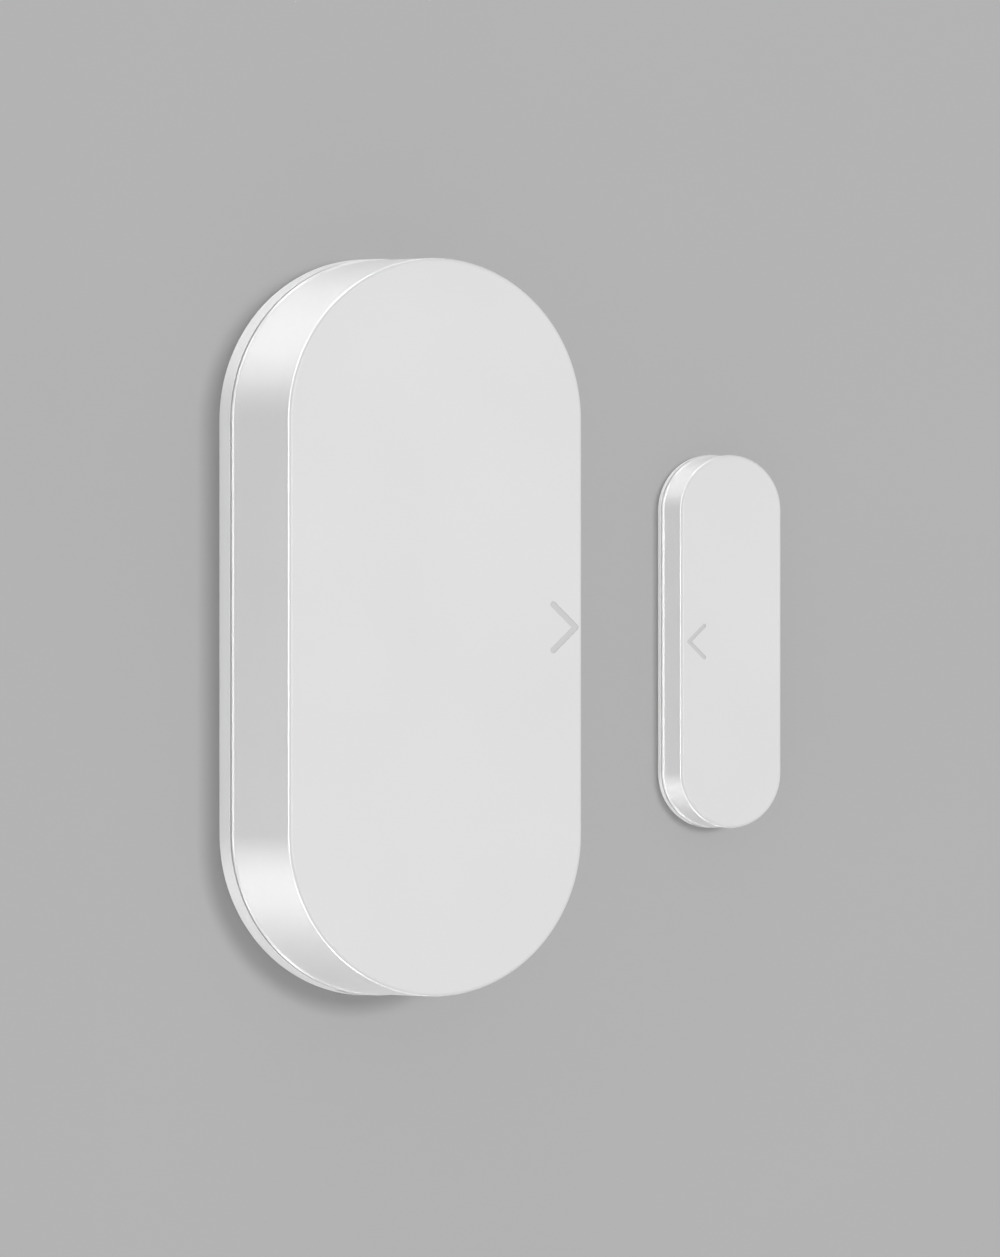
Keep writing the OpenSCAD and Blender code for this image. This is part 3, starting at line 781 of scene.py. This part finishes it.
def build_copper():
    """Gold-plated lands: rings round the holes and pads under the parts."""
    bm = bmesh.new()
    pad = pad_section()
    fixing_ring, fixing_land = band_section(COPPER, width=0.55), 1.7
    lead_ring, lead_land = band_section(COPPER, width=0.35), 0.8
    for screw in solids("board_screws"):
        for side in (1, -1):
            disc(bm, side * screw["x"], screw["z"], fixing_land, fixing_ring, closed=True)
    for x, z in reed_feet():
        disc(bm, x, z, lead_land, lead_ring, closed=True, steps=6)
    for node in ("chip_capacitors", "chip_resistors", "clock_crystal", "buffer_capacitor", "indicator_led"):
        for b in solids(node):
            for side in (-1, 1):
                slab(bm, b["x"] + side * b["w"] / 2, b["z"], 0.9, b["h"] + 0.3, 0.1, pad, steps=2)
    for leg in button_legs():
        slab(bm, leg["x"], leg["z"], 1.0, 1.2, 0.1, pad, steps=2)
    for x, z, w, h in chip_pads(width=0.28, length=0.7):
        slab(bm, x, z, w, h, 0.05, pad, steps=2)
    for x, z in TEST_PADS:
        slab(bm, x, z, 0.8, 0.8, 0.4, pad, steps=4)
    add_detail("board_gold_pads", bm, "spring_gold")


def chip_pads(width, length):
    """Centres and sizes of the terminals along the controller chip's four sides."""
    chip = place("controller_chip")
    pads = []
    for i in range(PIN_COUNT):
        along = (i - (PIN_COUNT - 1) / 2) * PIN_PITCH
        for side in (-1, 1):
            pads.append((chip["x"] + side * chip["w"] / 2, chip["z"] + along, length, width))
            pads.append((chip["x"] + along, chip["z"] + side * chip["h"] / 2, width, length))
    return pads


def strip_path(bm, points, width, back, front):
    """Flat strip through (x, z) points, with mitred corners, between two depths."""
    left, right = [], []
    for i, point in enumerate(points):
        here = Vector(point)
        before = (here - Vector(points[i - 1])).normalized() if i else None
        after = (Vector(points[i + 1]) - here).normalized() if i < len(points) - 1 else None
        before, after = before or after, after or before
        along = (before + after).normalized()
        side = Vector((-along.y, along.x))
        reach = width / 2 / side.dot(Vector((-after.y, after.x)))
        left.append(tuple(here + side * reach))
        right.append(tuple(here - side * reach))
    prism(bm, left + right[::-1], back, front)


def tracks():
    """Routes between the parts, each a list of (x, z) points that bends at 45 degrees."""
    chip, radio, button = place("controller_chip"), place("radio_board"), place("button_housing")
    led, cell = place("indicator_led"), place("battery_holder")
    foot_high, foot_low = reed_feet()
    bottom, holder_top = chip["z"] - chip["h"] / 2, cell["z"] + cell["h"] / 2
    right, left = chip["x"] + chip["w"] / 2, chip["x"] - chip["w"] / 2
    radio_top = radio["z"] + radio["h"] / 2
    routes = []
    for i in range(6):
        x = chip["x"] - 1.25 + PIN_PITCH * i
        routes.append([(x, bottom), (x, bottom - 0.5), (x, radio_top)])
    slant, end = 1.1, button["x"] + button["w"] / 2
    for i in range(3):
        z = chip["z"] + 0.75 - PIN_PITCH * i
        routes.append([(left, z), (left - slant, z), (left - 2 * slant, z - slant), (end, z - slant)])
    for i in range(2):
        z = chip["z"] - 1.25 - PIN_PITCH * i
        run = left - 1.6 - 0.5 * i
        level = led["z"] - 0.3 + 0.6 * i
        routes.append([(left, z), (run, z), (run, level), (led["x"] + 1, level)])
    slant = 0.4
    for i, (x, z) in enumerate((foot_high, foot_low)):
        up = -1 if i else 1
        level = chip["z"] + 0.5 - i
        bend = 7.9 - 0.5 * i
        last = z - up * min(abs(z - level) - 0.5, x - bend)
        routes.append([(right, level), (bend - slant, level), (bend, level + up * slant)])
        routes[-1] += [(bend, last), (x, z)]
    for side in (-1, 1):
        edge = side * 11.4
        routes.append([(edge, 18), (edge, -18.4), (edge - side * 0.7, -19.1)])
    slant = 0.5
    for x, z in TEST_PADS:
        aside = x + slant
        routes.append([(x, z), (x, z - 1), (aside, z - 1 - slant), (aside, holder_top - 0.4)])
    return routes


def build_tracks():
    bm = bmesh.new()
    for route in tracks():
        strip_path(bm, route, TRACK_WIDTH, BOARD_FRONT - SUNK, BOARD_FRONT + 0.02)
    via = [(0, BOARD_FRONT - SUNK), (0, BOARD_FRONT + COPPER)]
    for _ in range(VIA_TRIES):
        x = random.uniform(-11, 11)
        z = random.choice((random.uniform(-25, -9), random.uniform(-8, 0)))
        at_radio, at_fixings, at_reed = abs(x) < 8, abs(z + 21) < 3, x > 8.8
        if not (at_radio or at_fixings or at_reed):
            disc(bm, x, z, VIA_RADIUS, via, steps=4)
    made = new_object("board_tracks", bm)
    shade(made)
    f = Finish("covered_copper", 0.28, IOR=1.5)
    green = (0.03, 0.24, 0.12)
    f.colour(f.varied(f.noise(1.5), green, 0.8, 1.2))
    f.rough(f.noise(0.5), 0.2, 0.34)
    f.relief(f.noise(0.2), 0.002)
    made.data.materials.append(f.material)
    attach(made, "sensor_base")


def build_print():
    """White outlines printed on the board round the larger parts."""
    bm = bmesh.new()
    line = band_section(PRINT, 0.14)
    for node, gap in (
        ("controller_chip", 0.6), ("clock_crystal", 0.75), ("buffer_capacitor", 0.75),
        ("indicator_led", 0.7), ("radio_board", 0.25),
    ):
        b = place(node)
        slab(bm, b["x"], b["z"], b["w"] + 2 * gap, b["h"] + 2 * gap, 0.2, line, closed=True, steps=2)
    holder = place("battery_holder")
    disc(bm, holder["x"], holder["z"], holder["w"] / 2 + 0.3, line, closed=True, steps=24)
    chip = place("controller_chip")
    dot = (chip["x"] - 3.4, chip["z"] + 2.9, 0.22)
    plain_disc(bm, *dot, BOARD_FRONT - SUNK, BOARD_FRONT + PRINT, edge=0.005, steps=4)
    add_detail("board_print", bm, "button_white")


def build_screws():
    """Pan-head screws with a cross recess and a thread below the board."""
    head, brim, core, pitch, steps = BOARD_FRONT, 0.3, 0.95, 0.4, 7
    cross_length, cross_width = 2.2, 0.5
    bm, crosses = bmesh.new(), bmesh.new()
    for s in solids("board_screws"):
        radius = s["w"] / 2
        root, crest = radius - 0.84, radius - 0.98
        path = [(core, s["back"])]
        for k in range(int((head - s["back"]) / pitch) - 1):
            level = s["back"] + (k + 0.5) * pitch
            path += [(root, level), (crest, level + pitch / 2)]
        path += [(core, head - 0.02), (core, head), (0.04, head), (0, head + brim / 2)]
        dome = s["front"] - head - brim
        for k in range(1, steps):
            a = math.pi / 2 * k / steps
            path.append((radius * (1 - math.cos(a)), head + brim + dome * math.sin(a)))
        disc(bm, s["x"], s["z"], radius, path)
        slot = [(0, s["front"] - 0.55), (0, s["front"] + 1)]
        for w, h in ((cross_length, cross_width), (cross_width, cross_length)):
            slab(crosses, s["x"], s["z"], w, h, 0.1, slot, steps=2)
    swap("board_screws_turned", bm, "board_screws", crosses, bevel=0.02)


# ---- Coin cell, holder and contacts ----


def build_holder():
    keep_node("battery_holder", 0.1)


def build_cell():
    """The can with its rounded rim, the cap, the gasket between them and the electrode mix inside."""
    can = place("cell_can")
    back, front, middle = can["back"], can["front"], can["w"] / 2 - 0.01
    crimp, crimp_back, groove = 0.7, back + 0.3, front - 0.05
    bm = bmesh.new()
    path = rounded(
        (middle, front - CELL_SHEET, 0), (CELL_SHEET, front - CELL_SHEET, 0.2),
        (CELL_SHEET, crimp_back, 0.02), (crimp, crimp_back, 0),
        (crimp, back, 0.1), (0, back, 0.3),
        (0, front, 0.35), (1.1, front, 0.1),
        (1.2, groove, 0.04), (1.35, groove, 0.04),
        (1.45, front, 0.1), (middle, front, 0),
    )
    disc(bm, can["x"], can["z"], can["w"] / 2, path, steps=32)
    swap("cell_can_drawn", bm, "cell_can")
    cap = place("cell_cap")
    back, front, middle = cap["back"], cap["front"], cap["w"] / 2 - 0.01
    bm = bmesh.new()
    path = rounded(
        (middle, back, 0), (0, back, 0.25),
        (0, front, 0.05), (CELL_SHEET, front, 0.05),
        (CELL_SHEET, back + CELL_SHEET, 0.1), (middle, back + CELL_SHEET, 0),
    )
    disc(bm, cap["x"], cap["z"], cap["w"] / 2, path, steps=32)
    swap("cell_cap_drawn", bm, "cell_cap")
    keep_node("cell_gasket", 0.03)
    keep_node("cell_electrodes", 0.05)


def build_contacts():
    """Sprung sheet contacts: the clip over the cell and the spring under it."""
    clip = place("battery_positive_clip")
    cell = place("cell_can")
    board, t = BOARD_FRONT, CLIP_SHEET
    leg = cell["z"] + 11.3
    tip, foot = clip["z"] - clip["h"] / 2, clip["z"] + clip["h"] / 2
    top, bend, drop = clip["front"], tip + 1.2, 0.12
    side = rounded(
        (foot, board, 0), (foot, board + t, 0),
        (leg + t, board + t, 0.15), (leg + t, top, 0.4),
        (bend, top, 0.5), (tip, top - drop, 0),
        (tip, top - drop - t, 0), (bend, top - t, 0.5),
        (leg, top - t, 0.15), (leg, board, 0),
    )
    bm = bmesh.new()
    half = clip["w"] / 2
    sheet_strip(bm, side, clip["x"] - half, clip["x"] + half)
    slit = bmesh.new()
    slab(slit, clip["x"], tip + 2, 0.8, 5, 0.4, [(0, cell["front"] - 0.5), (0, top + 1)], steps=4)
    swap("battery_clip_pressed", bm, "battery_positive_clip", slit, bevel=0.05)
    keep_node("battery_negative_spring", 0.04)


# ---- Reed switch ----


def build_reed():
    """Sealed glass tube with drawn-in ends, its two leads and the blade that springs."""
    g = place("reed_glass")
    x, depth = g["x"], (g["back"] + g["front"]) / 2
    half, radius, lead_hole = g["h"] / 2, g["w"] / 2, 0.31
    bore = half - REED_SEAL
    outer = [(half, 0.34), (half - 0.25, 0.55), (half - 0.8, 0.95), (half - 1.5, radius)]
    inner = [(bore - 0.5, REED_BORE), (bore - 0.12, 0.6), (bore, 0.33)]
    wall = [(half, lead_hole)] + outer + [(-z, r) for z, r in outer[::-1]] + [(-half, lead_hole)]
    hollow = [(-bore, lead_hole)] + [(-z, r) for z, r in inner[::-1]] + inner + [(bore, lead_hole)]
    bm = bmesh.new()
    rings = []
    for z, r in wall + hollow:
        turn = (2 * math.pi * k / 32 for k in range(32))
        rings.append([world(x + r * math.cos(a), g["z"] + z, depth + r * math.sin(a)) for a in turn])
    skin(bm, rings, True)
    swap("reed_tube", bm, "reed_glass")
    flat_strip = {"r": 0.1, "edge": 0.02}
    for node, side in (("reed_moving_lead", 1), ("reed_fixed_lead", -1)):
        lead = place(node)
        end = lead["z"] + side * (lead["h"] / 2 - WIRE)
        start = g["z"] + side * (bore - 0.2)
        points = [world(x, start, depth)]
        for k in range(9):
            a = math.pi / 2 * k / 8
            up = end - side * REED_BEND * (1 - math.sin(a))
            points.append(world(x, up, depth - REED_BEND * (1 - math.cos(a))))
        points.append(world(x, end, lead["back"]))
        bm = bmesh.new()
        tube(bm, points, WIRE)
        if side < 0:
            blade = place("reed_blade")
            tip = blade["z"] - blade["h"] / 2 + 1.2
            flat = {"x": x, "w": blade["w"], "z": (tip + start) / 2, "h": tip - start}
            block(bm, flat, back=blade["back"] - 0.2, front=blade["back"], **flat_strip)
        swap(node + "_wire", bm, node)
    swap_block("reed_blade_strip", "reed_blade", **flat_strip)


# ---- Button, light, radio and chips ----


def button_legs():
    return [b for b in solids("button_frame") if b["w"] < 2]


def build_button():
    b = place("button_housing")
    frame_sheet = next(s for s in solids("button_frame") if s["w"] > 2)
    bm = bmesh.new()
    block(bm, b, r=0.25, edge=0.08)
    bore = bmesh.new()
    disc(bore, b["x"], b["z"], 2.1, [(0, b["front"] - 0.8), (0, b["front"] + 1)])
    swap("button_housing_moulding", bm, "button_housing", bore)
    bm = bmesh.new()
    block(bm, frame_sheet, r=0.3, edge=0.04)
    for leg in button_legs():
        inside = -1 if leg["x"] > b["x"] else 1
        wide = dict(leg, w=leg["w"] + 0.2, x=leg["x"] + inside * 0.1)
        block(bm, wide, r=0.05, edge=0.04)
    hole = bmesh.new()
    disc(hole, b["x"], b["z"], 1.6, [(0, frame_sheet["back"] - 1), (0, frame_sheet["front"] + 1)])
    swap("button_frame_sheet", bm, "button_frame", hole)
    rivets = bmesh.new()
    top, reach = frame_sheet["front"], 1.95
    path = rounded((0, top - 0.1, 0), (0, top + 0.12, 0.1), (0.2, top + 0.15, 0))
    for x in (b["x"] - reach, b["x"] + reach):
        for z in (b["z"] - reach, b["z"] + reach):
            disc(rivets, x, z, 0.32, path, steps=6)
    add_detail("button_rivets", rivets, "black_plastic")
    p = place("button_plunger")
    bm = bmesh.new()
    collar = b["front"] - 0.1
    path = rounded(
        (0.4, p["back"], 0), (0, p["back"], 0.06),
        (0, collar, 0.06), (0.5, collar, 0),
        (0.5, p["front"], 0.2), (0.9, p["front"], 0.1),
        (1.1, p["front"] - 0.08, 0),
    )
    disc(bm, p["x"], p["z"], p["w"] / 2, path)
    swap("button_plunger_turned", bm, "button_plunger")


def build_led():
    b = place("indicator_led")
    bm = bmesh.new()
    block(bm, b, r=0.05, edge=0.03, front=b["back"] + 0.3)
    path = rounded((0, b["back"] + 0.25, 0), (0, b["front"], 0.25), (0.3, b["front"], 0))
    slab(bm, b["x"], b["z"], b["w"] - 0.6, b["h"], 0.2, path, steps=4)
    swap("indicator_lens", bm, "indicator_led")
    ends = bmesh.new()
    end_blocks(ends, b, 0.12, 0.28, r=0.02, edge=0.02, front=b["back"] + 0.32, grow=0.01)
    add_detail("indicator_terminals", ends, "spring_gold")


def build_radio():
    """Radio module: board with half-round edge contacts, shield can, hidden chip and chip antenna."""
    keep_node("radio_board", 0.03)
    keep_node("radio_chip", 0.05)
    b = place("radio_board")
    front = b["front"]
    lands = bmesh.new()
    pitch, count = 1.4, 9
    land = [(0, front - SUNK), (0, front + COPPER)]
    fillet = [(0, b["back"] - 0.01), (0, b["back"] + 0.05), (0.12, b["back"] + 0.25)]
    for side in (-1, 1):
        for i in range(count):
            z = b["z"] + (i - (count - 1) / 2) * pitch
            slab(lands, b["x"] + side * (b["w"] / 2 - 0.62), z, 0.6, 0.75, 0.08, land, steps=2)
            slab(lands, b["x"] + side * (b["w"] / 2 + 0.3), z, 0.75, 0.7, 0.1, fillet, steps=2)
    add_detail("radio_lands", lands, "spring_gold")
    s = place("radio_shield")
    bm = bmesh.new()
    t = SHIELD_SHEET
    path = rounded(
        (0.8, s["front"], 0), (0, s["front"], 0.22),
        (0, s["back"], 0), (t, s["back"], 0),
        (t, s["front"] - t, 0.1), (0.8, s["front"] - t, 0),
    )
    slab(bm, s["x"], s["z"], s["w"], s["h"], 0.5, path, steps=6)
    vents = bmesh.new()
    through = [(0, s["front"] - 0.5), (0, s["front"] + 1)]
    for row in range(-1, 2):
        for column in range(-2, 3):
            disc(vents, s["x"] + column * 1.5, s["z"] + row * 2.2, 0.28, through, steps=4)
    swap("radio_shield_can", bm, "radio_shield", vents)
    a = place("radio_antenna")
    swap_block("antenna_block", "radio_antenna", r=0.06, edge=0.06)
    metal = bmesh.new()
    plating = 0.015
    end_blocks(metal, a, 0.35, 0.72, r=0.06, edge=0.06, grow=plating, front=a["front"] + plating)
    turns, line = 6, 0.25
    step, reach = (a["w"] - 2) / turns, (a["h"] - 0.75) / 2
    meander = []
    for k in range(turns):
        x = a["x"] - a["w"] / 2 + 1 + step * (k + 0.5)
        side = 1 if k % 2 else -1
        meander += [(x, a["z"] - side * reach), (x, a["z"] + side * reach)]
    strip_path(metal, meander, line, a["front"] - 0.1, a["front"] + 0.012)
    add_detail("antenna_metal", metal, "shield_tin")


def build_controller():
    chip = place("controller_chip")
    bm = bmesh.new()
    block(bm, chip, r=0.05, edge=0.06)
    dot = bmesh.new()
    x, z = chip["x"] - chip["w"] / 2 + 0.8, chip["z"] + chip["h"] / 2 - 0.8
    disc(dot, x, z, 0.35, [(0, chip["front"] - 0.06), (0, chip["front"] + 1)], steps=6)
    swap("controller_package", bm, "controller_chip", dot)
    pins = bmesh.new()
    for x, z, w, h in chip_pads(width=0.26, length=0.12):
        pin = {"x": x, "z": z, "w": w, "h": h, "back": chip["back"], "front": chip["back"] + 0.22}
        block(pins, pin, r=0.01, edge=0.01)
    add_detail("controller_terminals", pins, "shield_tin")


def build_crystal():
    """Metal can with a welded lid over a ceramic tray."""
    c = place("clock_crystal")
    step = 0.3
    bm = bmesh.new()
    block(bm, c, r=0.15, edge=0.04, front=c["back"] + 0.35)
    lid = dict(c, w=c["w"] - step, h=c["h"] - step)
    block(bm, lid, r=0.2, edge=0.08, back=c["back"] + step)
    swap("crystal_can", bm, "clock_crystal")


def build_buffer_capacitor():
    """Moulded body with a bevelled top, folded end tabs and a polarity band."""
    t = place("buffer_capacitor")
    low = t["back"] + 0.1
    bm = bmesh.new()
    path = rounded(
        (0.15, low, 0), (0, low, 0.05), (0, t["back"] + 0.9, 0),
        (0.12, t["front"], 0.1), (0.4, t["front"], 0),
    )
    slab(bm, t["x"], t["z"], t["w"], t["h"], 0.1, path, steps=3)
    swap("buffer_capacitor_body", bm, "buffer_capacitor")
    tabs = bmesh.new()
    narrow = dict(t, h=t["h"] * 0.7)
    end_blocks(tabs, narrow, 0.03, 0.14, r=0.03, edge=0.03, front=t["back"] + 0.95)
    add_detail("buffer_capacitor_tabs", tabs, "shield_tin")
    band = bmesh.new()
    stripe = dict(t, x=t["x"] + t["w"] / 2 - 0.65, w=0.45, h=t["h"] - 0.55)
    block(band, stripe, r=0.02, edge=0.008, back=t["front"] - 0.1, front=t["front"] + 0.01)
    add_detail("buffer_capacitor_band", band, "black_plastic")


def build_small_parts():
    """Chip capacitors and resistors, with tinned ends."""
    plating = 0.012
    for node in ("chip_capacitors", "chip_resistors"):
        body, ends = bmesh.new(), bmesh.new()
        for b in solids(node):
            block(body, b, r=0.03, edge=0.05)
            end_blocks(ends, b, 0.14, 0.3, r=0.04, edge=0.05, grow=plating, front=b["front"] + plating)
        swap(node + "_bodies", body, node)
        add_detail(node + "_ends", ends, "shield_tin")


# ---- Wall, light and camera ----

VIEW_AZIMUTH = math.radians(-25)
VIEW = Vector((math.sin(VIEW_AZIMUTH), -math.cos(VIEW_AZIMUTH), 0))
LENS = 1200
SENSOR = 36
PIXELS_HIGH = 1257
PIXELS_PER_MM = 10.205
AIM = Vector((14.68, 0, -0.12))
SKY = 0.57
EDGE_LEAN = 2.1
EDGE_POWERS = (5.8, 5.8, 5.6, 1.1)
UPPER_POWERS = (0.3, 0.65, 0.62, 0.4, 0.25, 0.1)
LOWER_POWERS = (0.8, 0.75, 0.5, 0.15, 0.05)
GLOSS_SIZE = 200


def build_camera():
    """Long lens from the left, level with the main unit."""
    data = bpy.data.cameras.new("camera")
    data.lens = LENS
    data.sensor_width = SENSOR
    data.clip_end = 50
    camera = into_scene("camera", data)
    distance = PIXELS_HIGH / PIXELS_PER_MM * LENS / SENSOR
    camera.location = (AIM + VIEW * distance) * MM
    camera.rotation_euler = (math.pi / 2, 0, VIEW_AZIMUTH)
    bpy.context.scene.camera = camera


def build_wall():
    """The wall the units are stuck to. It is seen from the room only, so that the backs can be looked at."""
    half = 4000 * MM
    y = 0.02 * MM
    mesh = bpy.data.meshes.new("wall")
    corners = [(-half, y, -half), (half, y, -half), (half, y, half), (-half, y, half)]
    mesh.from_pydata(corners, [], [(0, 1, 2, 3)])
    wall = into_scene("wall", mesh)
    f = Finish("wall_paint", 0.9, Specular_IOR_Level=0.0)
    f.colour(f.tinted(f.ranged(f.noise(60), 0, 1), (0.515, 0.515, 0.515), (0.525, 0.525, 0.525)))
    f.relief(f.noise(1.2), 0.01)
    mix = f.node("MixShader", Fac=f.node("NewGeometry").outputs["Backfacing"])
    f.feed(mix.inputs[1], f.shader.outputs["BSDF"])
    f.feed(mix.inputs[2], f.node("BsdfTransparent").outputs["BSDF"])
    f.feed(f.tree.nodes["Material Output"].inputs["Surface"], mix.outputs["Shader"])
    mesh.materials.append(f.material)
    wall.visible_shadow = False
    wall.visible_glossy = False


def lamp(name, place_mm, size, power, aim=(0, 0, 0)):
    """Soft rectangular light of (width, height) millimetres, aimed at a point."""
    data = bpy.data.lights.new(name, "AREA")
    data.shape = "RECTANGLE"
    data.size, data.size_y = size[0] * MM, size[1] * MM
    data.energy = power
    light = into_scene(name, data)
    light.location = Vector(place_mm) * MM
    light.rotation_euler = (Vector(aim) * MM - light.location).to_track_quat("-Z", "Y").to_euler()
    light.visible_camera = False
    return light


def gloss_lamp(name, outward, distance, power, aim=(0, 0, 0)):
    """Light seen only in reflections, placed where a surface that faces outward mirrors it to the camera."""
    normal = outward.normalized()
    toward = 2 * normal.dot(VIEW) * normal - VIEW
    place_mm = Vector(aim) + toward.normalized() * distance
    lamp(name, place_mm, (GLOSS_SIZE, GLOSS_SIZE), power, aim).visible_diffuse = False


def edge_lights():
    """Lights behind the wall, 25 degrees apart, that draw the white line along the front edge's left half."""
    for k, power in enumerate(EDGE_POWERS):
        a = math.radians(25 * k)
        for side in (1, -1) if k else (1,):
            outward = Vector((-EDGE_LEAN * math.cos(a), -1, side * EDGE_LEAN * math.sin(a)))
            gloss_lamp("edge_%d" % (side * k), outward, 500, power)


def arc_lights(name, side, powers):
    """Lights that brighten one rounded end of the side walls, ten degrees apart."""
    for k, power in enumerate(powers):
        a = math.radians(10 * (k + 1))
        outward = Vector((-math.cos(a), 0, side * math.sin(a)))
        gloss_lamp("%s_%d" % (name, k), outward, 1000, power, aim=(10, 0, side * 20))


def build_light():
    world_light = bpy.data.worlds.new("studio")
    bpy.context.scene.world = world_light
    world_light.use_nodes = True
    sky = world_light.node_tree.nodes["Background"]
    sky.inputs["Color"].default_value = (1, 1, 1, 1)
    sky.inputs["Strength"].default_value = SKY
    lamp("key", place_mm=(100, -1400, 88), size=(150, 150), power=5.9)
    lamp("back", place_mm=(700, 900, 0), size=(600, 600), power=1.5).visible_glossy = False
    edge_lights()
    front_edge = (31.6, -5.6, -1.4)
    strip = lamp("magnet_edge", place_mm=(16.4, 1.6, -1.4), size=(3, 48), power=0.012, aim=front_edge)
    strip.visible_diffuse = False
    arc_lights("upper", 1, UPPER_POWERS)
    arc_lights("lower", -1, LOWER_POWERS)
    view = bpy.context.scene.view_settings
    view.view_transform = "Standard"
    view.look = "None"


# ---- The whole object ----

build_camera()
build_casings()
build_magnet()
build_board()
build_copper()
build_tracks()
build_print()
build_screws()
build_holder()
build_cell()
build_contacts()
build_reed()
build_button()
build_led()
build_radio()
build_controller()
build_crystal()
build_buffer_capacitor()
build_small_parts()
build_wall()
build_light()
